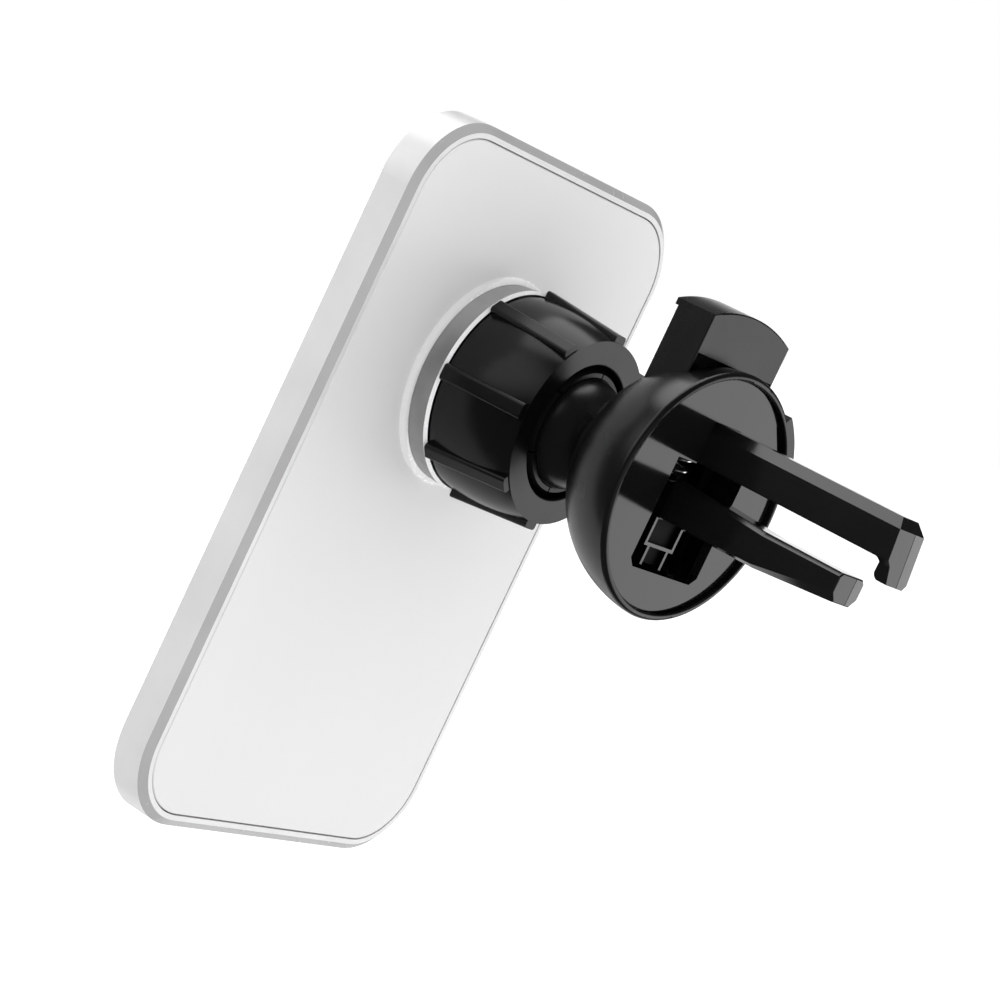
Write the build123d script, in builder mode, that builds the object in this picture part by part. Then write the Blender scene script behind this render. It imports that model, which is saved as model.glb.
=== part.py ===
from build123d import *
import os
from math import cos, radians, sin, sqrt

# Car phone mount: a magnetic holder plate on a ball joint, carried by a spring
# clip that grips one slat of an air vent. Millimetres.
# Frame: origin at the centre of the clip's face, +Y out of that face into the
# vent, +Z up, towards the push button. The head, which is everything from the
# lock nut to the plate, is drawn straight and then turned about the vertical
# through the ball's centre, as it stands at rest.

os.makedirs("parts", exist_ok=True)

# ---- driving dimensions: clip ----------------------------------------------
CLIP_R = 19.05          # outer radius of the housing, half a sphere
CLIP_WALL = 1.85
RIM_R = 17.95           # inner radius of the rim
RIM_ROUND = (0.75, 0.3)  # of its outer and inner corners
COVER_R = 17.75
COVER_FACE = -0.9       # the cover lies this far below the rim
COVER_T = 1.6
SLOT_X = (-9.1, 7.7)    # travel slot in the cover
SLOT_Z = (-12.3, 4.5)
SLOT_CORNER = 1.2
LUG_R = 19.75           # small lug on the rim
LUG_FROM, LUG_TO = 127, 151
LUG_DEPTH = 3.2
COLLAR_R = 6.3          # collar that carries the ball's neck
COLLAR_Y = -19.4
POLE_SEAT_Y = -15.2     # flat inside the dome for the stud's washer
BORE_R = 2.6
FRAME_Y = -9.5          # front of the guide frame; its bosses end behind it
FRAME_T = 1.0
FRAME_Z = -1.6          # middle of the frame
FRAME_SCREW_X, FRAME_SCREW_Z = 6.5, -6.5
WASHER_T = 0.8
STUD_NUT_Y = -11.9
SNAP_T = COVER_T - 0.7

# ---- jaws --------------------------------------------------------------------
JAW_W = 6.5
UPPER_Z = (4.65, 10.95)
UPPER_SHOULDER = 9.33   # where the top chamfers of the upper jaw start
CROWN_W = 4.1           # width of the flat between those chamfers
UPPER_TIP_Y = 34.1
UPPER_TIP_LEAN = 1.15   # the end leans back this far above the shoulder
HOOK_Z = 1.65           # lowest point of the hook
HOOK_ROOT_Y = 32.9      # its inner side, where it leaves the bar
HOOK_TIP_Y = (32.3, 34.95)  # both sides at its lowest point
HOOK_SIDE = (1.7, 2.4)  # +X side of the hook, at its lowest point and below the bar
HOOK_SIDE_Z = 4.1
HOOK_ROUND = 0.8
SEAM_X = -0.95          # fine groove down the end of each jaw
SEAM = 0.12
JAW_SCREW_X, JAW_SCREW_Z = 4.8, 9.0
LOWER_TIP_Y = 28.8
# the button, slider and lower jaw go down together, 4.4 mm
SLIDER_FRONT = -2.7
SLIDER_BACK = -9.2
CARRIAGE_T = 1.2
ARM_X = (6.2, 8.5)
ARM_Y = (-9.2, -5.8)
BLOCK_W = 6.4
TONGUE_BACK = -7.0
TONGUE_Z = -2.45        # middle of the tongue
PIN_R = 0.8
PIN_AT = (-4.8, -2.45)  # cross pin, in Y and Z

# ---- push button -------------------------------------------------------------
BUTTON_W = 19.8
BUTTON_FRONT, BUTTON_BACK = -4.25, -10.8
BUTTON_SHOULDER = 24.5
BUTTON_CROWN = 26.4
BUTTON_WALL = 1.2
BUTTON_CEILING = 23.2
BUTTON_SKIRT = 18.75    # lower edge of the front wall
BUTTON_FOOT = 10.5      # lower edge of the side walls

# ---- return spring -----------------------------------------------------------
SPRING_Y = -6.0
SPRING_Z = (0.25, 10.95)
SPRING_R = 1.45
SPRING_WIRE = 0.22
SPRING_PITCH = 1.7
POST_R = 0.9

# ---- ball joint --------------------------------------------------------------
BALL_R = 8.9
BALL_Y = -27.0
NECK_R = 5.2
FIT = 0.1               # running clearance of the ball and its shells
SHELL_R = 9.7           # outside of the friction pad
LINER_R = 10.0
HEAD_YAW = 5.8          # turn of the head about the vertical at rest

# ---- lock nut ----------------------------------------------------------------
NUT_FRONT, NUT_BACK = -25.25, -40.05
NUT_FRONT_R, NUT_MID_R, NUT_BACK_R = 14.57, 15.85, 15.72
NUT_OPENING = 10.65
NUT_WALL = 1.5
THREAD_R = 12.0
FINGER_R = 11.25
FINGER_TIP_R = 9.5      # outside of the fingers at their front ends
RIBS = 8
RIB_W = 2.6
RIB_CREST = (15.7, 17.05)   # radius of a rib's crest at the front and the back

# ---- holder plate --------------------------------------------------------------
PLATE_W, PLATE_L, PLATE_T = 70.6, 112.3, 7.0
PLATE_R = 12.5
PLATE_Z = -21.0         # its middle; the ball sits above it
PANEL_Y = -45.06
BEVEL_IN, BEVEL_DEEP = 1.2, 0.95
LIP = 0.79              # flat of the frame round the panel
FRAME_WALL = 4.0
PANEL_T = 1.4
GAP = 0.2
YOKE_T = 1.2
PAD_T, PAD_LEDGE = 1.5, 1.2
PUCK_FRONT = -40.25
PUCK_R_FRONT, PUCK_R_BACK, PUCK_BORE = 16.4, 15.85, 14.65
FLANGE_R = 14.5
FLARE_R, FLARE_H = 16.9, 0.95
MAGNET_R = (22.5, 27.0)
MAGNETS = 16
SCREW_AT = 8.0          # socket screws, in X and in Z from the ball's axis
TRAY_SCREW = (26.0, 46.0)


# ---- helpers -----------------------------------------------------------------
def face(y):
    """Plane square to Y, sketched in X and Z; extruding it goes towards -Y."""
    return Plane.XZ.offset(-y)


def radial(angle):
    """Plane through the Y axis: sketch x is the radius, at this angle from +X to +Z."""
    a = radians(angle)
    return Plane(origin=(0, 0, 0), x_dir=(cos(a), 0, sin(a)), z_dir=(-sin(a), 0, cos(a)))


def chord(radius, offset):
    return sqrt(radius**2 - offset**2)


def on_ball(radius, y):
    """Point of a sphere about the ball's centre, as (distance from the axis, y)."""
    return (chord(radius, y - BALL_Y), y)


HEAD_TURN = Pos(0, BALL_Y, 0) * Rot(0, 0, HEAD_YAW) * Pos(0, -BALL_Y, 0)


def save(piece, name, on_head=False):
    if on_head:
        piece.part.move(HEAD_TURN)
    piece.part.label = name
    export_step(piece.part, f"parts/{name}.step")


def screw(name, x, z, seat, side, shank_r, shank_l, head_r, head_h, on_head):
    """Pan-head screw with a hexagon socket; side is +1 if the head is on the +Y side."""
    with BuildPart() as piece:
        with BuildSketch(face(seat)):
            with Locations((x, z)):
                Circle(head_r)
        extrude(amount=-side * head_h)
        fillet(piece.edges().group_by(Axis.Y)[-1 if side > 0 else 0], head_h * 0.3)
        with BuildSketch(face(seat)):
            with Locations((x, z)):
                Circle(shank_r)
        extrude(amount=side * shank_l)
        with BuildSketch(face(seat + side * head_h)):
            with Locations((x, z)):
                RegularPolygon(head_r * 0.48, 6)
        extrude(amount=side * head_h * 0.6, mode=Mode.SUBTRACT)
    save(piece, name, on_head)


inner_r = CLIP_R - CLIP_WALL
cover_back = COVER_FACE - COVER_T
ledge_r = chord(inner_r, cover_back)

# ==== clip ====================================================================
with BuildPart() as clip_housing:
    with BuildSketch(Plane.XY):
        with BuildLine():
            rim = Polyline((CLIP_R, 0), (RIM_R, 0), (RIM_R, cover_back), (ledge_r, cover_back))
            inside = RadiusArc(rim @ 1, (COLLAR_R, -chord(inner_r, COLLAR_R)), inner_r)
            collar = Polyline(
                inside @ 1, (COLLAR_R, POLE_SEAT_Y), (BORE_R, POLE_SEAT_Y),
                (BORE_R, COLLAR_Y), (COLLAR_R, COLLAR_Y), (COLLAR_R, -chord(CLIP_R, COLLAR_R)),
            )
            RadiusArc(collar @ 1, (CLIP_R, 0), -CLIP_R)
        make_face()
        for corner_r, size in zip((CLIP_R, RIM_R), RIM_ROUND):
            fillet(vertices().filter_by(
                lambda v: abs(v.X - corner_r) < 0.01 and abs(v.Y) < 0.01), size)
    revolve(axis=Axis.Y)
    # lug on the rim
    with BuildSketch(radial(LUG_TO)):
        with Locations(((LUG_R + RIM_R + 0.3) / 2, -LUG_DEPTH / 2)):
            Rectangle(LUG_R - RIM_R - 0.3, LUG_DEPTH)
    revolve(axis=Axis.Y, revolution_arc=LUG_TO - LUG_FROM)
    # the button's slot through the top of the dome
    with BuildSketch(face(BUTTON_FRONT + GAP)):
        with Locations((0, 17)):
            Rectangle(BUTTON_W + 2 * GAP, 18)
    extrude(amount=BUTTON_FRONT - BUTTON_BACK + 2 * GAP, mode=Mode.SUBTRACT)
    # bosses for the guide frame's screws
    with BuildSketch(face(FRAME_Y - FRAME_T)):
        with Locations((FRAME_SCREW_X, FRAME_SCREW_Z), (-FRAME_SCREW_X, FRAME_SCREW_Z)):
            Circle(2.2)
    extrude(amount=4.6)
    with BuildSketch(face(FRAME_Y - FRAME_T)):
        with Locations((FRAME_SCREW_X, FRAME_SCREW_Z), (-FRAME_SCREW_X, FRAME_SCREW_Z)):
            Circle(PIN_R)
    extrude(amount=3.4, mode=Mode.SUBTRACT)
    # notches that the cover's snaps click into
    with BuildSketch(face(COVER_FACE - 0.5)):
        with PolarLocations(RIM_R, 4, start_angle=45):
            Rectangle(0.8, 4.2)
    extrude(amount=COVER_T - 0.5, mode=Mode.SUBTRACT)
save(clip_housing, "clip_housing")

with BuildPart() as clip_cover:
    with BuildSketch(face(COVER_FACE)):
        Circle(COVER_R)
        with Locations(((SLOT_X[0] + SLOT_X[1]) / 2, (SLOT_Z[0] + SLOT_Z[1]) / 2)):
            Rectangle(SLOT_X[1] - SLOT_X[0], SLOT_Z[1] - SLOT_Z[0], mode=Mode.SUBTRACT)
        with Locations((0, SLOT_Z[1])):
            Rectangle(JAW_W + 0.1, 2 * (UPPER_Z[1] - SLOT_Z[1]) + 0.1, mode=Mode.SUBTRACT)
        # shallow bite in the edge beside the lug
        with PolarLocations(COVER_R, 1, start_angle=(LUG_FROM + LUG_TO) / 2):
            Rectangle(1.6, 6.6, mode=Mode.SUBTRACT)
    extrude(amount=COVER_T)
    low_corners = clip_cover.edges().filter_by(Axis.Y).filter_by(
        lambda e: abs(e.center().Z - SLOT_Z[0]) < 0.01
    )
    chamfer(low_corners, SLOT_CORNER)
    # snaps on the edge
    with BuildSketch(face(COVER_FACE - 0.6)):
        with PolarLocations(COVER_R, 4, start_angle=45):
            Rectangle(0.9, 3.8)
    extrude(amount=SNAP_T)
    # blind holes for the fixed jaw's screws
    with BuildSketch(face(cover_back)):
        with Locations((JAW_SCREW_X, JAW_SCREW_Z), (-JAW_SCREW_X, JAW_SCREW_Z)):
            Circle(0.7)
    extrude(amount=-1.2, mode=Mode.SUBTRACT)
save(clip_cover, "clip_cover")

with BuildPart() as fixed_jaw:
    half = JAW_W / 2
    with BuildSketch(Plane.YZ):
        with BuildLine():
            Polyline(
                (cover_back, UPPER_Z[0]), (HOOK_ROOT_Y, UPPER_Z[0]), (HOOK_TIP_Y[0], HOOK_Z),
                (HOOK_TIP_Y[1], HOOK_Z), (UPPER_TIP_Y, UPPER_SHOULDER),
                (UPPER_TIP_Y - UPPER_TIP_LEAN, UPPER_Z[1]), (cover_back, UPPER_Z[1]), close=True,
            )
        make_face()
        hook_corners = vertices().group_by(Axis.Y)[0].sort_by(Axis.X)
        fillet(hook_corners[0], 0.9)
        chamfer(hook_corners[1], 0.4)
        root_corner = vertices().filter_by(
            lambda v: abs(v.X - HOOK_ROOT_Y) < 0.01 and abs(v.Y - UPPER_Z[0]) < 0.01
        )
        fillet(root_corner, 0.6)
    extrude(amount=half, both=True)
    # across the bar: chamfers along its top, and the hook set in from one side
    with BuildSketch(face(HOOK_TIP_Y[1] + 1)):
        with BuildLine():
            Polyline(
                (HOOK_ROUND - half, HOOK_Z), (HOOK_SIDE[0], HOOK_Z), (HOOK_SIDE[1], HOOK_SIDE_Z),
                (half, UPPER_Z[0] + 0.2), (half, UPPER_SHOULDER), (CROWN_W / 2, UPPER_Z[1]),
                (-CROWN_W / 2, UPPER_Z[1]), (-half, UPPER_SHOULDER), (-half, HOOK_Z + HOOK_ROUND),
                close=True,
            )
        make_face()
    extrude(amount=HOOK_TIP_Y[1] + 1 - cover_back, mode=Mode.INTERSECT)
    # the groove follows the end's slant
    with BuildSketch(Plane.YZ.offset(SEAM_X)):
        with BuildLine():
            Polyline(
                (HOOK_TIP_Y[1] - SEAM, HOOK_Z), (HOOK_TIP_Y[1] + 1, HOOK_Z),
                (UPPER_TIP_Y + 1, UPPER_SHOULDER), (UPPER_TIP_Y - SEAM, UPPER_SHOULDER), close=True,
            )
        make_face()
    extrude(amount=SEAM / 2, both=True, mode=Mode.SUBTRACT)
    # flange behind the cover, with the spring's upper anchor
    with BuildSketch(face(cover_back)):
        with Locations((0, 8.8)):
            Rectangle(12.6, 8.4)
    extrude(amount=1.6)
    with BuildSketch(face(cover_back - 1.6)):
        with Locations((0, 12.1)):
            Rectangle(4.0, 1.8)
    extrude(amount=cover_back - SPRING_Y + 0.4)
    with BuildSketch(Plane.XY.offset(11.2)):
        with Locations((0, SPRING_Y)):
            Circle(POST_R)
    extrude(amount=-1.4)
    with BuildSketch(face(cover_back)):
        with Locations((JAW_SCREW_X, JAW_SCREW_Z), (-JAW_SCREW_X, JAW_SCREW_Z)):
            Circle(0.75)
    extrude(amount=1.6, mode=Mode.SUBTRACT)
save(fixed_jaw, "fixed_jaw")

for side, at in (("left", JAW_SCREW_X), ("right", -JAW_SCREW_X)):
    screw(f"jaw_screw_{side}", at, JAW_SCREW_Z, cover_back - 1.6, -1, 0.7, 2.7, 1.35, 0.9, False)

with BuildPart() as ball_stud:
    with BuildSketch(Plane.XY):
        neck = on_ball(BALL_R, BALL_Y + chord(BALL_R, NECK_R))
        with BuildLine():
            ball = RadiusArc((0, BALL_Y - BALL_R), neck, -BALL_R)
            Polyline(
                ball @ 1, (NECK_R, COLLAR_Y), (2.5, COLLAR_Y), (2.5, -11.2), (0, -11.2),
                (0, BALL_Y - BALL_R),
            )
        make_face()
    revolve(axis=Axis.Y)
    chamfer(ball_stud.edges().group_by(Axis.Y)[-1], 0.5)
save(ball_stud, "ball_stud")

with BuildPart() as stud_washer:
    with BuildSketch(face(POLE_SEAT_Y + WASHER_T)):
        Circle(5.4)
        Circle(2.65, mode=Mode.SUBTRACT)
    extrude(amount=WASHER_T)
save(stud_washer, "stud_washer")

with BuildPart() as stud_nut:
    with BuildSketch(face(STUD_NUT_Y)):
        RegularPolygon(4.6, 6)
        Circle(2.5, mode=Mode.SUBTRACT)
    extrude(amount=STUD_NUT_Y - POLE_SEAT_Y - WASHER_T)
save(stud_nut, "stud_nut")

with BuildPart() as guide_frame:
    with BuildSketch(face(FRAME_Y)):
        with Locations((0, FRAME_Z)):
            Rectangle(19.4, 14.8)
        Circle(4.9, mode=Mode.SUBTRACT)
    extrude(amount=FRAME_T)
    with BuildSketch(face(FRAME_Y + 4)):
        with Locations((9.2, FRAME_Z), (-9.2, FRAME_Z)):
            Rectangle(1.0, 14.8)
    extrude(amount=4.0)
    with BuildSketch(face(FRAME_Y)):
        with Locations((FRAME_SCREW_X, FRAME_SCREW_Z), (-FRAME_SCREW_X, FRAME_SCREW_Z)):
            Circle(1.8)
    extrude(amount=FRAME_T, taper=45, mode=Mode.SUBTRACT)
save(guide_frame, "guide_frame")

for side, at in (("left", FRAME_SCREW_X), ("right", -FRAME_SCREW_X)):
    with BuildPart() as frame_screw:
        with BuildSketch(face(FRAME_Y)):
            with Locations((at, FRAME_SCREW_Z)):
                Circle(1.8)
        extrude(amount=FRAME_T, taper=45)
        with BuildSketch(face(FRAME_Y - FRAME_T)):
            with Locations((at, FRAME_SCREW_Z)):
                Circle(PIN_R)
        extrude(amount=3.0)
        with BuildSketch(face(FRAME_Y)):
            with Locations((at, FRAME_SCREW_Z)):
                RegularPolygon(0.7, 6)
        extrude(amount=0.7, mode=Mode.SUBTRACT)
    save(frame_screw, f"frame_screw_{side}")

with BuildPart() as return_spring:
    with BuildLine():
        coil = Helix(
            pitch=SPRING_PITCH, height=SPRING_Z[1] - SPRING_Z[0], radius=SPRING_R,
            center=(0, SPRING_Y, SPRING_Z[0]),
        )
    with BuildSketch(Plane(origin=coil @ 0, z_dir=coil % 0)):
        Circle(SPRING_WIRE)
    sweep(is_frenet=True)
save(return_spring, "return_spring")

# ==== slider, lower jaw and button =============================================
with BuildPart() as slider:
    # block behind the lower jaw's root, with a socket for its tongue
    with BuildSketch(face(SLIDER_FRONT)):
        with Locations((0, -2.5)):
            Rectangle(BLOCK_W, 4.8)
    extrude(amount=SLIDER_FRONT - SLIDER_BACK)
    with BuildSketch(face(SLIDER_FRONT)):
        with Locations((0, TONGUE_Z)):
            Rectangle(4.4, 2.9)
    extrude(amount=SLIDER_FRONT - TONGUE_BACK, mode=Mode.SUBTRACT)
    # carriage plate and the two arms that rise into the button
    with BuildSketch(face(SLIDER_BACK + CARRIAGE_T)):
        with Locations((0, -1.0)):
            Rectangle(2 * ARM_X[1], 7.8)
    extrude(amount=CARRIAGE_T)
    with BuildSketch(face(ARM_Y[1])):
        for turn in (1, -1):
            with Locations((turn * (ARM_X[0] + ARM_X[1]) / 2, (BUTTON_CEILING - 4.9) / 2)):
                Rectangle(ARM_X[1] - ARM_X[0], BUTTON_CEILING + 4.9)
    extrude(amount=ARM_Y[1] - ARM_Y[0])
    # tail below the block: a web with raised ribs
    with BuildSketch(face(-3.6)):
        with Locations((0, -6.9)):
            Rectangle(7.2, 4.2)
        with Locations((0, -10.2)):
            Rectangle(5.2, 2.9)
    extrude(amount=0.8)
    with BuildSketch(face(-2.8)):
        with Locations((3.35, -6.9), (-3.35, -6.9)):
            Rectangle(0.5, 4.2)
        with Locations((0, -8.85)):
            Rectangle(7.2, 0.5)
        with Locations((2.35, -10.4), (-2.35, -10.4)):
            Rectangle(0.5, 3.1)
    extrude(amount=0.8)
    # post inside the spring
    with BuildSketch(Plane.XY.offset(-0.1)):
        with Locations((0, SPRING_Y)):
            Circle(POST_R)
    extrude(amount=1.5)
    # cross pin hole
    with BuildSketch(Plane.YZ):
        with Locations(PIN_AT):
            Circle(PIN_R)
    extrude(amount=BLOCK_W / 2, both=True, mode=Mode.SUBTRACT)
save(slider, "slider")


# cross-sections of the lower jaw from its tip to its root: place, top, lowest point, height
# of the lower edges of its sides, and size of the top bevel
jaw_sections = (
    (LOWER_TIP_Y, 0.5, -3.75, -2.45, 0.6),
    (14.5, 0.5, -4.85, -4.4, 0.7),
    (SLIDER_FRONT, 1.5, -4.9, -4.7, 0.6),
)
with BuildPart() as moving_jaw:
    side = JAW_W / 2
    for y, top, bottom, side_low, bevel in jaw_sections:
        with BuildSketch(face(y)):
            with BuildLine():
                Polyline(
                    (side, side_low), (side, top - bevel), (side - bevel, top), (bevel - side, top),
                    (-side, top - bevel), (-side, side_low), (-2.1, bottom), (2.1, bottom),
                    close=True,
                )
            make_face()
    loft(ruled=True)
    end_face = moving_jaw.faces().sort_by(Axis.Y)[-1]
    fillet(end_face.edges(), 0.3)
    with BuildSketch(Plane.XY.offset(jaw_sections[0][2])):
        with Locations((SEAM_X, LOWER_TIP_Y)):
            Rectangle(SEAM, 2 * SEAM)
    extrude(amount=jaw_sections[0][1] - jaw_sections[0][2], mode=Mode.SUBTRACT)
    with BuildSketch(face(SLIDER_FRONT)):
        with Locations((0, TONGUE_Z)):
            Rectangle(4.3, 2.8)
    extrude(amount=SLIDER_FRONT - TONGUE_BACK - 0.05)
    with BuildSketch(Plane.YZ):
        with Locations(PIN_AT):
            Circle(PIN_R)
    extrude(amount=JAW_W, both=True, mode=Mode.SUBTRACT)
save(moving_jaw, "moving_jaw")

with BuildPart() as jaw_pin:
    with BuildSketch(Plane.YZ):
        with Locations(PIN_AT):
            Circle(PIN_R)
    extrude(amount=BLOCK_W / 2 - 0.1, both=True)
save(jaw_pin, "jaw_pin")

with BuildPart() as push_button:
    side_x = BUTTON_W / 2
    with BuildSketch(face(BUTTON_FRONT)):
        with BuildLine():
            walls = Polyline(
                (side_x, BUTTON_SHOULDER), (side_x, BUTTON_FOOT), (-side_x, BUTTON_FOOT),
                (-side_x, BUTTON_SHOULDER),
            )
            ThreePointArc(walls @ 1, (0, BUTTON_CROWN), walls @ 0)
        make_face()
    extrude(amount=BUTTON_FRONT - BUTTON_BACK)
    fillet(push_button.faces().sort_by(Axis.Y)[-1].edges().filter_by(
        lambda e: e.center().Z > BUTTON_FOOT + 1), 0.25)
    hollow_z = (BUTTON_CEILING + BUTTON_FOOT) / 2
    with BuildSketch(face(BUTTON_FRONT - BUTTON_WALL)):
        with Locations((0, hollow_z)):
            Rectangle(BUTTON_W - 2 * BUTTON_WALL, BUTTON_CEILING - BUTTON_FOOT)
    extrude(amount=BUTTON_FRONT - BUTTON_BACK - 2 * BUTTON_WALL, mode=Mode.SUBTRACT)
    # the front wall stops above the dome; its side walls thin out to an edge
    with BuildSketch(Plane.XY.offset(BUTTON_SKIRT)):
        with BuildLine():
            Polyline(
                (side_x - 0.25, BUTTON_FRONT + 1), (side_x - 0.25, BUTTON_FRONT),
                (side_x - BUTTON_WALL, BUTTON_FRONT - BUTTON_WALL),
                (BUTTON_WALL - side_x, BUTTON_FRONT - BUTTON_WALL),
                (0.25 - side_x, BUTTON_FRONT), (0.25 - side_x, BUTTON_FRONT + 1), close=True,
            )
        make_face()
    extrude(amount=-(BUTTON_SKIRT - BUTTON_FOOT), mode=Mode.SUBTRACT)
    # the back wall ends higher than the sides
    with BuildSketch(face(BUTTON_BACK + BUTTON_WALL)):
        with Locations((0, BUTTON_FOOT + 0.75)):
            Rectangle(BUTTON_W - 2 * BUTTON_WALL, 1.5)
    extrude(amount=BUTTON_WALL, mode=Mode.SUBTRACT)
    # fingernail lip along the top of the back
    with BuildSketch(face(BUTTON_BACK)):
        with BuildLine():
            crown = ThreePointArc(
                (side_x, BUTTON_SHOULDER), (0, BUTTON_CROWN), (-side_x, BUTTON_SHOULDER)
            )
            low = ThreePointArc(
                (side_x, BUTTON_SHOULDER - 1), (0, BUTTON_CROWN - 1), (-side_x, BUTTON_SHOULDER - 1)
            )
            Line(crown @ 0, low @ 0)
            Line(crown @ 1, low @ 1)
        make_face()
    extrude(amount=0.6)
save(push_button, "push_button")

# ==== ball joint's shells ======================================================
pad_in = BALL_R + FIT


def cap_edge(radius):
    """Edge of a cap of the ball's far side that spans 28 degrees from the axis."""
    edge = radians(28)
    return (radius * sin(edge), BALL_Y - radius * cos(edge))


with BuildPart() as friction_pad:
    with BuildSketch(Plane.XY):
        with BuildLine():
            inner = RadiusArc((0, BALL_Y - pad_in), cap_edge(pad_in), -pad_in)
            outer = RadiusArc((0, BALL_Y - SHELL_R), cap_edge(SHELL_R), -SHELL_R)
            Line(inner @ 0, outer @ 0)
            Line(inner @ 1, outer @ 1)
        make_face()
    revolve(axis=Axis.Y)
save(friction_pad, "friction_pad")

liner_y = (BALL_Y + 0.1, BALL_Y - 1.6)
with BuildPart() as liner_ring:
    with BuildSketch(Plane.XY):
        with BuildLine():
            cup = RadiusArc(on_ball(pad_in, liner_y[0]), on_ball(pad_in, liner_y[1]), pad_in)
            Polyline(cup @ 0, (LINER_R, liner_y[0]), (LINER_R, liner_y[1]), cup @ 1)
        make_face()
    revolve(axis=Axis.Y)
save(liner_ring, "liner_ring", on_head=True)

with BuildPart() as clamp_ring:
    ring_y = (NUT_FRONT - NUT_WALL - FIT, NUT_FRONT - NUT_WALL - 3.15)
    with BuildSketch(Plane.XY):
        with BuildLine():
            Polyline(
                (THREAD_R, ring_y[1]), (THREAD_R, ring_y[0]), (FINGER_R, ring_y[0]),
                (FINGER_R + FIT, ring_y[0] - 0.6), (FINGER_R + FIT, ring_y[1]), close=True,
            )
        make_face()
    revolve(axis=Axis.Y)
save(clamp_ring, "clamp_ring", on_head=True)

with BuildPart() as lock_nut:
    with BuildSketch(Plane.XY):
        with BuildLine():
            belly = ThreePointArc(
                (NUT_FRONT_R, NUT_FRONT), (NUT_MID_R, (NUT_FRONT + NUT_BACK) / 2), (NUT_BACK_R, NUT_BACK)
            )
            Polyline(belly @ 1, (NUT_OPENING, NUT_BACK), (NUT_OPENING, NUT_FRONT), belly @ 0)
        make_face()
    revolve(axis=Axis.Y)
    with BuildSketch(*[radial(360 / RIBS * k + 1) for k in range(RIBS)]):
        with BuildLine():
            Polyline(
                (13.0, NUT_FRONT - 0.15), (RIB_CREST[0], NUT_FRONT - 0.15),
                (RIB_CREST[1], NUT_BACK + 0.15), (13.0, NUT_BACK + 0.15), close=True,
            )
        make_face()
    extrude(amount=RIB_W / 2, both=True)
    crests = lock_nut.edges().filter_by(GeomType.LINE).filter_by(lambda e: e.length > 10)
    fillet(crests, 0.55)
    with BuildSketch(face(NUT_FRONT - NUT_WALL)):
        Circle(THREAD_R + FIT)
    extrude(amount=NUT_FRONT - NUT_WALL - NUT_BACK, mode=Mode.SUBTRACT)
    mouth = lock_nut.edges().filter_by(GeomType.CIRCLE).filter_by(
        lambda e: abs(e.radius - NUT_OPENING) < 0.01 and e.center().Y > NUT_FRONT - 0.1
    )
    fillet(mouth, 0.35)
save(lock_nut, "lock_nut", on_head=True)

# ==== socket and mounting ring ==================================================
panel_back = PANEL_Y - PANEL_T
yoke_back = panel_back - YOKE_T
with BuildPart() as ball_socket:
    finger_front = BALL_Y + 1.65
    bore_r = LINER_R + FIT
    cavity_r = SHELL_R + FIT
    with BuildSketch(Plane.XY):
        with BuildLine():
            lip = RadiusArc(
                on_ball(pad_in, finger_front), on_ball(pad_in, liner_y[0] + 0.05), pad_in
            )
            bore = Polyline(
                lip @ 1, (bore_r, liner_y[0] + 0.05), (bore_r, liner_y[1] - 0.05),
                on_ball(cavity_r, liner_y[1] - 0.05),
            )
            cavity = RadiusArc(bore @ 1, (0, BALL_Y - cavity_r), cavity_r)
            Polyline(
                cavity @ 1, (0, panel_back), (FLANGE_R, panel_back), (FLANGE_R, PUCK_FRONT - 0.15),
                (THREAD_R, PUCK_FRONT - 0.15), (THREAD_R, ring_y[1] - 0.3),
                (FINGER_R, ring_y[1] - 0.3), (FINGER_R, liner_y[0] - 0.6),
                (FINGER_R - 0.9, liner_y[0] + 0.15), (FINGER_TIP_R, finger_front), lip @ 0,
            )
        make_face()
    revolve(axis=Axis.Y)
    # slots part the front of the wall into springy fingers
    with BuildSketch(*[radial(60 * k + 30) for k in range(6)]):
        with Locations((11.0, (finger_front - 33.0) / 2)):
            Rectangle(6.0, finger_front + 33.0)
    extrude(amount=0.15, both=True, mode=Mode.SUBTRACT)
    with BuildSketch(face(panel_back)):
        with GridLocations(2 * SCREW_AT, 2 * SCREW_AT, 2, 2):
            Circle(1.05)
    extrude(amount=-4.2, mode=Mode.SUBTRACT)
save(ball_socket, "ball_socket", on_head=True)

with BuildPart() as mount_ring:
    with BuildSketch(Plane.XY):
        with BuildLine():
            Polyline(
                (PUCK_BORE, PANEL_Y), (PUCK_R_BACK, PANEL_Y), (PUCK_R_FRONT, PUCK_FRONT - 0.45),
                (PUCK_R_FRONT - 0.45, PUCK_FRONT), (PUCK_BORE, PUCK_FRONT), close=True,
            )
        make_face()
    revolve(axis=Axis.Y)
save(mount_ring, "mount_ring", on_head=True)


# ==== holder plate ==============================================================
def plate_outline(inset):
    """Rounded outline of the plate, this far inside its outer edge."""
    with Locations((0, PLATE_Z)):
        RectangleRounded(PLATE_W - 2 * inset, PLATE_L - 2 * inset, max(PLATE_R - inset, 6.0))


pocket = BEVEL_IN + LIP
front_y = PANEL_Y - PLATE_T
pad_ledge_y = front_y + PAD_LEDGE
with BuildPart() as bezel_frame:
    for y, side in ((PANEL_Y, -1), (front_y, 1)):
        with BuildSketch(face(y)):
            plate_outline(BEVEL_IN)
        with BuildSketch(face(y + side * BEVEL_DEEP)):
            plate_outline(0)
        loft(ruled=True)
    with BuildSketch(face(PANEL_Y - BEVEL_DEEP)):
        plate_outline(0)
    extrude(amount=PLATE_T - 2 * BEVEL_DEEP)
    with BuildSketch(face(PANEL_Y)):
        plate_outline(FRAME_WALL)
    extrude(amount=PLATE_T, mode=Mode.SUBTRACT)
    with BuildSketch(face(PANEL_Y)):
        plate_outline(pocket)
    extrude(amount=PANEL_T, mode=Mode.SUBTRACT)
    with BuildSketch(face(front_y)):
        plate_outline(pocket)
    extrude(amount=-PAD_LEDGE, mode=Mode.SUBTRACT)
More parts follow.
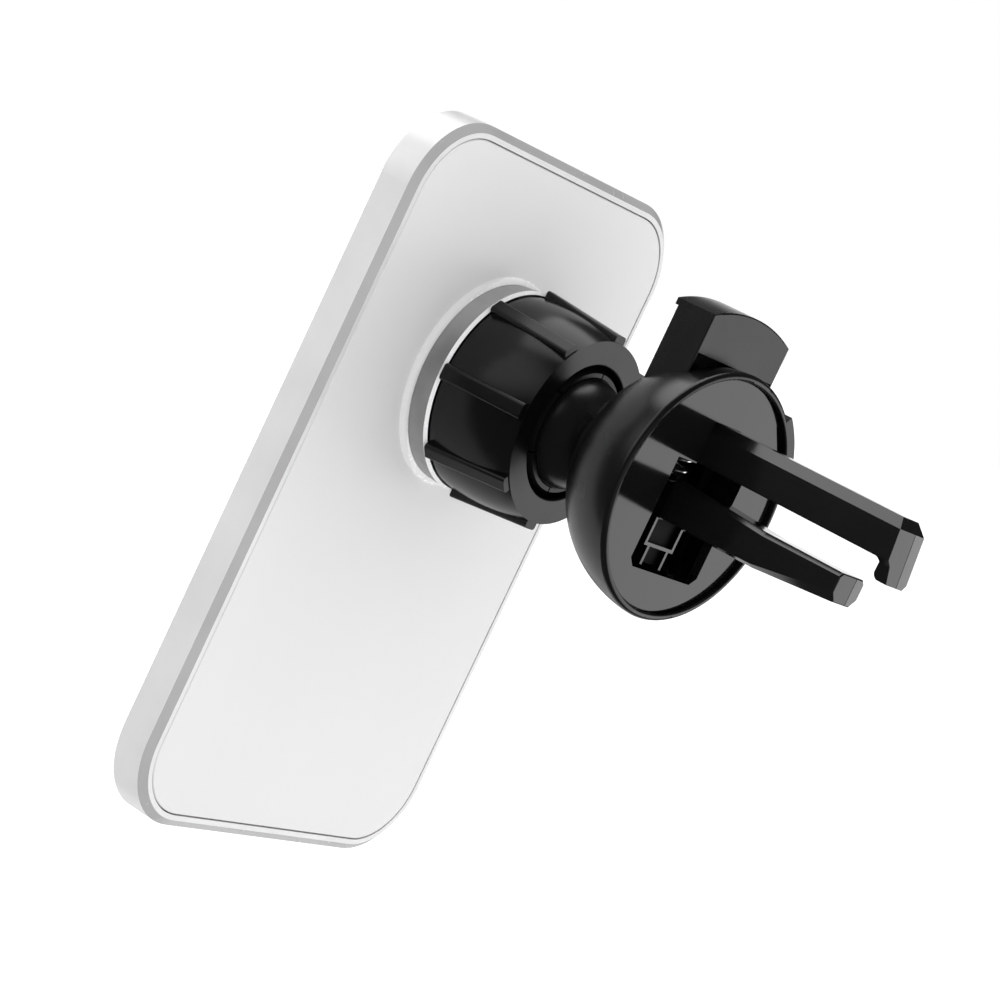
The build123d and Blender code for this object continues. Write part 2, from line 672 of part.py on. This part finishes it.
save(bezel_frame, "bezel_frame", on_head=True)

with BuildPart() as back_panel:
    with BuildSketch(face(PANEL_Y)):
        plate_outline(pocket + GAP)
    extrude(amount=PANEL_T)
    chamfer(back_panel.faces().sort_by(Axis.Y)[-1].edges(), 0.15)
    # raised ring with a hollow flank round the metal mounting ring
    with BuildSketch(Plane.XY):
        with BuildLine():
            flare = Polyline(
                (FLARE_R, PANEL_Y), (FLARE_R, PANEL_Y - 0.5), (PUCK_BORE, PANEL_Y - 0.5),
                (PUCK_BORE, PANEL_Y + FLARE_H), (PUCK_R_BACK + 0.25, PANEL_Y + FLARE_H),
            )
            RadiusArc(flare @ 1, flare @ 0, 1.1)
        make_face()
    revolve(axis=Axis.Y)
    with BuildSketch(face(PANEL_Y + FLARE_H)):
        Circle(PUCK_R_BACK + 0.12)
    extrude(amount=FLARE_H, mode=Mode.SUBTRACT)
    with BuildSketch(face(PANEL_Y)):
        Circle(FLANGE_R + GAP)
    extrude(amount=PANEL_T, mode=Mode.SUBTRACT)
save(back_panel, "back_panel", on_head=True)

with BuildPart() as yoke_plate:
    with BuildSketch(face(panel_back)):
        plate_outline(FRAME_WALL + GAP)
        with GridLocations(2 * SCREW_AT, 2 * SCREW_AT, 2, 2):
            Circle(1.05, mode=Mode.SUBTRACT)
        with Locations((0, PLATE_Z)):
            with GridLocations(2 * TRAY_SCREW[0], 2 * TRAY_SCREW[1], 2, 2):
                Circle(1.0, mode=Mode.SUBTRACT)
    extrude(amount=YOKE_T)
save(yoke_plate, "yoke_plate", on_head=True)

with BuildPart() as magnet_tray:
    with BuildSketch(face(yoke_back)):
        plate_outline(FRAME_WALL + GAP)
        with GridLocations(2 * SCREW_AT, 2 * SCREW_AT, 2, 2):
            Circle(2.3, mode=Mode.SUBTRACT)
        with Locations((0, PLATE_Z)):
            with GridLocations(2 * TRAY_SCREW[0], 2 * TRAY_SCREW[1], 2, 2):
                Circle(1.0, mode=Mode.SUBTRACT)
    extrude(amount=yoke_back - pad_ledge_y)
    with BuildSketch(face(pad_ledge_y)):
        with Locations((0, PLATE_Z)):
            with GridLocations(2 * TRAY_SCREW[0], 2 * TRAY_SCREW[1], 2, 2):
                Circle(2.0)
    extrude(amount=-1.4, mode=Mode.SUBTRACT)
    with BuildSketch(face(pad_ledge_y)):
        with Locations((0, PLATE_Z)):
            Circle(MAGNET_R[1] + 0.1)
            Circle(MAGNET_R[0] - 0.1, mode=Mode.SUBTRACT)
    extrude(amount=-2.6, mode=Mode.SUBTRACT)
save(magnet_tray, "magnet_tray", on_head=True)

with BuildPart() as magnet_ring:
    with BuildSketch(face(pad_ledge_y + 2.55)):
        with Locations((0, PLATE_Z)):
            Circle(MAGNET_R[1])
            Circle(MAGNET_R[0], mode=Mode.SUBTRACT)
            with PolarLocations(sum(MAGNET_R) / 2, MAGNETS):
                Rectangle(6.0, 0.6, mode=Mode.SUBTRACT)
    extrude(amount=2.5)
save(magnet_ring, "magnet_ring", on_head=True)

with BuildPart() as front_pad:
    with BuildSketch(face(pad_ledge_y)):
        plate_outline(pocket + GAP)
    extrude(amount=PAD_T)
    fillet(front_pad.faces().sort_by(Axis.Y)[0].edges(), 0.4)
save(front_pad, "front_pad", on_head=True)

corners = [(1, 1), (-1, 1), (-1, -1), (1, -1)]
for number, (sx, sz) in enumerate(corners, start=1):
    screw(
        f"socket_screw_{number}", sx * SCREW_AT, sz * SCREW_AT, yoke_back, -1,
        1.0, 5.0, 1.8, 1.4, True,
    )
    screw(
        f"tray_screw_{number}", sx * TRAY_SCREW[0], PLATE_Z + sz * TRAY_SCREW[1],
        pad_ledge_y + 1.4, -1, 0.95, 3.0, 1.8, 1.2, True,
    )
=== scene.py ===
"""Looks of the car phone mount: camera, soft studio light, materials and finer pieces.

Everything is in metres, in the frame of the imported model: +Y out of the clip into the
vent, +Z up towards the push button.
"""

from math import cos, pi, radians, sin

import bmesh
import bpy
from mathutils import Matrix, Vector


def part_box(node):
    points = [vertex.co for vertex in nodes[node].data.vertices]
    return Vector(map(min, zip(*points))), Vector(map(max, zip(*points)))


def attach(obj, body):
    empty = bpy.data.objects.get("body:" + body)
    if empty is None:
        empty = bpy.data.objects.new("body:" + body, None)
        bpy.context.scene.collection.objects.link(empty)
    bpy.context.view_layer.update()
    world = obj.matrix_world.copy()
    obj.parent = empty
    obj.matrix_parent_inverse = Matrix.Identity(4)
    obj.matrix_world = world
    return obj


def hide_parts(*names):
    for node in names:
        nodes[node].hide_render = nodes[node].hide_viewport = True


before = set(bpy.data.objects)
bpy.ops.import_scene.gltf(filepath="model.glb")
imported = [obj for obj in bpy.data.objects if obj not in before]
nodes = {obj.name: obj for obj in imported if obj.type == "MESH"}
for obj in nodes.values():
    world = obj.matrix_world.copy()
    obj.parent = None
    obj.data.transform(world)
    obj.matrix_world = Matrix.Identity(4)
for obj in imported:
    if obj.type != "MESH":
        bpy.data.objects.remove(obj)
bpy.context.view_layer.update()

HEAD_YAW = radians(5.8)             # the holder's turn about Z at rest

# Places that tell one face of a piece from another.
TIP_SEAM_X = -0.00095               # the fine groove down the end of each jaw; beyond it the end face is painted lighter as a highlight
TIP_Y = 0.02                        # the jaws' ends are all beyond this
RIB_FRONT_Y = -0.00285
RIBS_BELOW_Z = -0.0045
HOLLOW_HALF_W = 0.0097              # the push button's hollow, its inside painted black as shade
HOLLOW_Y = (-0.0107, -0.0043)
HOLLOW_TOP_Z = 0.0235
FINGER_TIP_Y = -0.0265
FINGER_HALF_W = 0.012
RING_FRONT_Y = -0.0425
PANEL_BACK_Y = -0.0470
FLARE_R = 0.0175                    # the back panel's flare round the mounting ring, painted near-white as a highlight


# ---- camera --------------------------------------------------------------------
def add_camera():
    """Camera that looks at the back of the plate and the clip's face, rolled to one side."""
    azimuth, elevation, roll = radians(128.78), radians(5.0), radians(25.37)
    distance, aside, above = 0.44436, -0.02831, -0.0001
    back = Vector((
        sin(azimuth) * cos(elevation), -cos(azimuth) * cos(elevation), sin(elevation),
    ))
    level = Vector((0, 0, 1)).cross(back).normalized()
    upright = back.cross(level)
    right = level * cos(roll) + upright * sin(roll)
    up = upright * cos(roll) - level * sin(roll)
    camera = bpy.data.objects.new("camera", bpy.data.cameras.new("camera"))
    bpy.context.scene.collection.objects.link(camera)
    turn = Matrix((right, up, back)).transposed()
    camera.matrix_world = (
        Matrix.Translation(back * distance + right * aside + up * above) @ turn.to_4x4()
    )
    camera.data.sensor_width = 36.0
    camera.data.lens = 112.94
    camera.data.clip_start, camera.data.clip_end = 0.01, 50
    bpy.context.scene.camera = camera


# ---- studio --------------------------------------------------------------------
FILL = 0.06             # light from all round, as reflections see it
WALLS = 1.0             # the white walls of the studio, as matt surfaces see them
FLOOR_Z = -0.16
FLOOR_SIZE = 30

# Soft boxes that reflections see: direction, where each starts to fade and where it has gone,
# in degrees from its middle, and brightness.
SOFT_BOXES = (
    ((-0.78, 0.62, -0.12), 22, 34, 2.1),
    ((0.02, -0.42, 0.91), 24, 32, 2.8),
    ((0.80, -0.37, 0.47), 12, 32, 1.4),
    ((-0.78, -0.62, 0.10), 7, 17, 1.3),
    ((-0.60, -0.40, -0.65), 12, 32, 0.8),
    ((0.24, 0.97, -0.09), 15, 35, 0.3),
)


def node(tree, kind, **values):
    """New shader node, with values for its input sockets or else its own settings."""
    made = tree.nodes.new(kind)
    for name, value in values.items():
        if name in made.inputs:
            made.inputs[name].default_value = value
        else:
            setattr(made, name, value)
    return made


def add_studio():
    """White world with soft boxes, over a pale floor."""
    world = bpy.data.worlds.new("studio")
    bpy.context.scene.world = world
    world.use_nodes = True
    tree = world.node_tree
    tree.nodes.clear()
    link = tree.links.new
    where = node(tree, "ShaderNodeTexCoord")
    total = None
    for direction, inner, outer, strength in SOFT_BOXES:
        toward = node(tree, "ShaderNodeVectorMath", operation="DOT_PRODUCT")
        toward.inputs[1].default_value = Vector(direction).normalized()
        link(where.outputs["Generated"], toward.inputs[0])
        edge = node(tree, "ShaderNodeMapRange", interpolation_type="SMOOTHSTEP")
        edge.inputs["From Min"].default_value = cos(radians(outer))
        edge.inputs["From Max"].default_value = cos(radians(inner))
        edge.inputs["To Min"].default_value = 0.0
        edge.inputs["To Max"].default_value = strength
        link(toward.outputs["Value"], edge.inputs["Value"])
        add = node(tree, "ShaderNodeMath", operation="ADD")
        link(edge.outputs["Result"], add.inputs[0])
        if total is None:
            add.inputs[1].default_value = FILL
        else:
            link(total.outputs[0], add.inputs[1])
        total = add
    rays = node(tree, "ShaderNodeLightPath")
    walls = node(tree, "ShaderNodeMapRange")
    walls.inputs["To Max"].default_value = WALLS
    link(rays.outputs["Is Diffuse Ray"], walls.inputs["Value"])
    link(total.outputs[0], walls.inputs["To Min"])
    light = node(tree, "ShaderNodeBackground")
    light.inputs["Color"].default_value = (1, 1, 1, 1)
    link(walls.outputs["Result"], light.inputs["Strength"])
    white = node(tree, "ShaderNodeBackground", Strength=1.0)
    white.inputs["Color"].default_value = (1, 1, 1, 1)
    mix = node(tree, "ShaderNodeMixShader")
    link(rays.outputs["Is Camera Ray"], mix.inputs["Fac"])
    link(light.outputs[0], mix.inputs[1])
    link(white.outputs[0], mix.inputs[2])
    link(mix.outputs[0], node(tree, "ShaderNodeOutputWorld").inputs["Surface"])
    bpy.context.scene.view_settings.view_transform = "Standard"

    bpy.ops.mesh.primitive_plane_add(size=FLOOR_SIZE, location=(0, 0, FLOOR_Z))
    floor = bpy.context.object
    floor.name = "floor"
    floor.visible_glossy = False
    floor_white, _, _ = principled(
        "floor_white", Base_Color=(0.65, 0.65, 0.65, 1), Roughness=0.9,
        Emission_Color=(1, 1, 1, 1), Emission_Strength=0.45,
    )
    floor.data.materials.append(floor_white)


# ---- materials -----------------------------------------------------------------
NOISE_LOW, NOISE_HIGH = 0.3, 0.7    # between these lies nearly all of a noise's range


def principled(name, **sockets):
    """New material, its tree and its shader, with values for the shader's sockets."""
    material = bpy.data.materials.new(name)
    material.use_nodes = True
    shader = material.node_tree.nodes["Principled BSDF"]
    for socket, value in sockets.items():
        shader.inputs[socket.replace("_", " ")].default_value = value
    return material, material.node_tree, shader


def noise(tree, scale, detail=3.0, stretch=(1, 1, 1)):
    """Noise fixed to the object, that many spots to the metre."""
    where = node(tree, "ShaderNodeTexCoord")
    size = node(tree, "ShaderNodeMapping")
    size.inputs["Scale"].default_value = stretch
    tree.links.new(where.outputs["Object"], size.inputs["Vector"])
    made = node(tree, "ShaderNodeTexNoise", Scale=scale, Detail=detail)
    tree.links.new(size.outputs["Vector"], made.inputs["Vector"])
    return made


def spread(tree, source, low, high, target):
    """Sends source's values, spread from low to high, to the socket target."""
    made = node(tree, "ShaderNodeMapRange")
    made.inputs["From Min"].default_value = NOISE_LOW
    made.inputs["From Max"].default_value = NOISE_HIGH
    made.inputs["To Min"].default_value = low
    made.inputs["To Max"].default_value = high
    tree.links.new(source.outputs["Fac"], made.inputs["Value"])
    tree.links.new(made.outputs["Result"], target)


def tint(tree, source, dark, light, shader):
    """Colours the shader from dark to light by source's values."""
    ramp = node(tree, "ShaderNodeValToRGB")
    ramp.color_ramp.elements[0].color = (*dark, 1)
    ramp.color_ramp.elements[1].color = (*light, 1)
    ramp.color_ramp.elements[0].position = NOISE_LOW
    ramp.color_ramp.elements[1].position = NOISE_HIGH
    tree.links.new(source.outputs["Fac"], ramp.inputs["Fac"])
    tree.links.new(ramp.outputs["Color"], shader.inputs["Base Color"])


def bump(tree, source, distance, strength, shader):
    """Raises the shader's surface by source's values, up to distance in metres."""
    made = node(tree, "ShaderNodeBump", Strength=strength, Distance=distance)
    tree.links.new(source.outputs["Fac"], made.inputs["Height"])
    tree.links.new(made.outputs["Normal"], shader.inputs["Normal"])


def moulded(name, grey, rough, grain=0.0, specular=0.5):
    """Black or grey moulded plastic: slight mottling, and a fine grain if it is matte."""
    material, tree, shader = principled(name, Specular_IOR_Level=specular)
    tint(tree, noise(tree, 60), (grey * 0.85,) * 3, (grey * 1.15,) * 3, shader)
    spread(tree, noise(tree, 140, 4), *rough, shader.inputs["Roughness"])
    if grain:
        bump(tree, noise(tree, 3600, 2), grain, 0.5, shader)
    return material


def metal(name, grey, rough, brush=(1, 1, 1), brush_scale=300, depth=0.0, clouds=80):
    """Metal between two greys, with a grain drawn out along the axis with the smallest factor."""
    material, tree, shader = principled(name, Metallic=1.0)
    tint(tree, noise(tree, clouds), (grey[0],) * 3, (grey[1],) * 3, shader)
    grain = noise(tree, brush_scale, 4, brush)
    spread(tree, grain, *rough, shader.inputs["Roughness"])
    if depth:
        bump(tree, grain, depth, 0.4, shader)
    return material


def silver(name, grey, metallic, rough):
    """Satin silver finish: a metallic coat with some white body under it."""
    material, tree, shader = principled(name, Metallic=metallic)
    tint(tree, noise(tree, 80), (grey * 0.95,) * 3, (grey * 1.04,) * 3, shader)
    grain = noise(tree, 900, 4, (1, 1, 0.05))
    spread(tree, grain, *rough, shader.inputs["Roughness"])
    return material


def white_panel(grey):
    """Pale plastic with a soft sheen."""
    material, tree, shader = principled("panel_white", Roughness=0.35, Specular_IOR_Level=0.3)
    tint(tree, noise(tree, 25), (grey * 0.985,) * 3, (grey * 1.01,) * 3, shader)
    bump(tree, noise(tree, 2500, 2), 0.00001, 0.3, shader)
    return material


def silicone():
    """Dark grey silicone with a dull, fine-grained skin."""
    material, tree, shader = principled("pad_silicone", Specular_IOR_Level=0.3)
    tint(tree, noise(tree, 90), (0.033, 0.033, 0.034), (0.036, 0.036, 0.037), shader)
    spread(tree, noise(tree, 200), 0.6, 0.75, shader.inputs["Roughness"])
    bump(tree, noise(tree, 4000, 2), 0.00003, 0.5, shader)
    return material


def paint(material, *names):
    """Gives each of these nodes the one material."""
    for name in names:
        materials = nodes[name].data.materials
        materials.clear()
        materials.append(material)


def paint_faces(material, name, wanted):
    """Gives the faces of a node for which wanted(middle, normal) holds their own material."""
    mesh = nodes[name].data
    mesh.materials.append(material)
    for face in mesh.polygons:
        if wanted(face.center, face.normal):
            face.material_index = len(mesh.materials) - 1


def add_materials():
    """Materials of the CAD nodes, and of the faces that look different from the rest: painted
    shade in hollows and inner parts, painted highlights on some edges and faces.
    """
    paint(moulded("housing_black", 0.004, (0.22, 0.28), 0.00001, 0.4), "clip_housing")
    paint(moulded("cover_black", 0.006, (0.07, 0.11)), "clip_cover")
    paint(moulded("jaw_black", 0.005, (0.10, 0.15)), "fixed_jaw", "moving_jaw")
    paint(moulded("button_black", 0.006, (0.24, 0.32), 0.00001, 0.36), "push_button")
    paint(moulded("nut_black", 0.004, (0.18, 0.26), 0.000005, 0.24), "lock_nut")
    paint(moulded("ball_black", 0.005, (0.22, 0.28)), "ball_stud")
    # Matte black for the inner parts of the clip and the socket: black plastic, but made darker
    # and duller than its neighbours as painted shade, where the slot and the nut's opening lie in
    # shadow.
    painted_shade = moulded("painted_shade_black", 0.002, (0.6, 0.7), specular=0.12)
    paint(painted_shade, "guide_frame", "slider", "ball_socket", "clamp_ring", "liner_ring", "friction_pad")
    paint(moulded("tray_grey", 0.25, (0.4, 0.5)), "magnet_tray")
    paint(metal("zinc_steel", (0.61, 0.68), (0.25, 0.4)), "stud_washer", "stud_nut", "jaw_pin")
    paint(metal("spring_steel", (0.75, 0.84), (0.15, 0.25)), "return_spring")
    paint(metal("yoke_steel", (0.47, 0.53), (0.35, 0.45)), "yoke_plate")
    paint(metal("magnet_nickel", (0.66, 0.74), (0.2, 0.3)), "magnet_ring")
    screw_steel = metal("screw_steel", (0.56, 0.63), (0.25, 0.4))
    for name in nodes:
        if "screw" in name:
            paint(screw_steel, name)
    paint(silver("frame_silver", 0.70, 0.15, (0.28, 0.36)), "bezel_frame")
    ring_steel = metal(
        "ring_steel", (0.24, 0.60), (0.28, 0.40),
        brush=(1, 0.04, 1), brush_scale=700, depth=0.00001, clouds=45,
    )
    paint(ring_steel, "mount_ring")
    paint(white_panel(0.75), "back_panel")

    # The far side of each jaw's end face is painted a lighter grey: painted highlight for the
    # light band along its rounded far edge.
    tip_painted_highlight = moulded("jaw_tip_painted_highlight", 0.10, (0.16, 0.24))
    for jaw in ("fixed_jaw", "moving_jaw"):
        paint_faces(
            tip_painted_highlight, jaw,
            lambda at, out: out.y > 0.9 and at.x < TIP_SEAM_X and at.y > TIP_Y,
        )
    # The front faces of the slider's ribs in the slot are a lighter grey: painted highlight where
    # the ribs catch the light against the painted shade behind them.
    paint_faces(
        moulded("rib_painted_highlight", 0.06, (0.15, 0.25)), "slider",
        lambda at, out: out.y > 0.9 and at.y > RIB_FRONT_Y and at.z < RIBS_BELOW_Z,
    )
    # The inside of the push button's hollow takes the same painted shade black.
    paint_faces(
        painted_shade, "push_button",
        lambda at, out: abs(at.x) < HOLLOW_HALF_W
        and HOLLOW_Y[0] < at.y < HOLLOW_Y[1]
        and at.z < HOLLOW_TOP_Z,
    )
    paint_faces(
        moulded("finger_black", 0.004, (0.3, 0.4), 0.0, 0.2), "ball_socket",
        lambda at, out: at.y > FINGER_TIP_Y and out.y > 0.3 and abs(at.x) < FINGER_HALF_W,
    )
    # The mounting ring's front chamfer and the back panel's flare round it are painted near-white:
    # painted highlight where these edges catch the light.
    painted_highlight_edge = silver("painted_highlight_edge", 0.96, 0.1, (0.2, 0.3))
    paint_faces(
        painted_highlight_edge, "mount_ring",
        lambda at, out: 0.3 < out.y < 0.95 and at.y > RING_FRONT_Y,
    )
    paint_faces(
        painted_highlight_edge, "back_panel",
        lambda at, out: abs(out.y) < 0.97
        and Vector((at.x, at.z)).length < FLARE_R
        and at.y > PANEL_BACK_Y,
    )
    turned_in = Matrix.Rotation(-HEAD_YAW, 3, "Z")
    paint_faces(
        silver("bevel_silver", 0.50, 0.25, (0.2, 0.28)), "bezel_frame",
        lambda at, out: 0.2 < abs((turned_in @ out).y) < 0.9,
    )
    paint_faces(
        silver("lip_silver", 0.72, 0.05, (0.3, 0.4)), "bezel_frame",
        lambda at, out: (turned_in @ out).y > 0.9,
    )


# ---- phone pad -----------------------------------------------------------------
PAD_T = 0.0015
PAD_CORNER = 0.0103
GROOVE_DEPTH = 0.00015
GROOVE_FLOOR = PAD_T - GROOVE_DEPTH
ROUND_GROOVES = (0.0275, 0.0205)    # their outer radii

# Profiles of the pad's rounded edge with the groove near it, and of a round groove, as steps
# inwards and heights.
EDGE_PROFILE = (
    (0.0002, 0.0), (0.0, 0.0002), (0.0, PAD_T - 0.0005), (0.0001, PAD_T - 0.0002),
    (0.0003, PAD_T - 0.00005), (0.0006, PAD_T), (0.0028, PAD_T), (0.0030, GROOVE_FLOOR),
    (0.0034, GROOVE_FLOOR), (0.0036, PAD_T),
)
GROOVE_PROFILE = ((0.0, PAD_T), (0.0002, GROOVE_FLOOR), (0.0006, GROOVE_FLOOR), (0.0008, PAD_T))


def rounded_outline(half_w, half_l, corner, steps=24):
    """Points of a rounded rectangle about the origin, across and up."""
    points = []
    for quarter, (sx, sz) in enumerate(((1, 1), (-1, 1), (-1, -1), (1, -1))):
        middle = Vector((sx * (half_w - corner), sz * (half_l - corner)))
        for step in range(steps + 1):
            angle = pi / 2 * (quarter + step / steps)
            points.append(middle + corner * Vector((cos(angle), sin(angle))))
        # along the straight side, up to the next corner
        far = points[-1].copy()
        far[quarter % 2] = -far[quarter % 2]
        points += [points[-1].lerp(far, step / steps) for step in range(1, steps)]
    return points


def add_pad():
    """Silicone pad that the phone rests on, with a groove near its edge and two round ones."""
    low, high = (Vector(corner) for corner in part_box("front_pad"))
    middle = (low + high) / 2
    half_l = (high.z - low.z) / 2
    half_w = (high.x - low.x - PAD_T * sin(HEAD_YAW)) / (2 * cos(HEAD_YAW))
    across = Vector((cos(HEAD_YAW), sin(HEAD_YAW), 0))
    outward = Vector((sin(HEAD_YAW), -cos(HEAD_YAW), 0))

    rings = []
    for inset, height in EDGE_PROFILE:
        corner = PAD_CORNER - inset
        rings.append((rounded_outline(half_w - inset, half_l - inset, corner), height))
    inner = rings[-1][0]
    for radius in ROUND_GROOVES:
        for inset, height in GROOVE_PROFILE:
            rings.append(([point.normalized() * (radius - inset) for point in inner], height))

    pad = bmesh.new()
    loops = []
    for points, height in rings:
        depth = outward * (height - PAD_T / 2)
        loops.append([
            pad.verts.new(middle + across * point.x + Vector((0, 0, point.y)) + depth)
            for point in points
        ])
    count = len(inner)
    for outer_loop, inner_loop in zip(loops, loops[1:]):
        for k in range(count):
            pad.faces.new((
                outer_loop[k], outer_loop[(k + 1) % count],
                inner_loop[(k + 1) % count], inner_loop[k],
            ))
    pad.faces.new(loops[-1])
    pad.faces.new(list(reversed(loops[0])))
    bmesh.ops.recalc_face_normals(pad, faces=pad.faces)
    mesh = bpy.data.meshes.new("phone_pad")
    pad.to_mesh(mesh)
    pad.free()
    mesh.materials.append(silicone())
    piece = bpy.data.objects.new("phone_pad", mesh)
    bpy.context.scene.collection.objects.link(piece)
    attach(piece, "holder")
    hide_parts("front_pad")


add_camera()
add_studio()
add_materials()
add_pad()
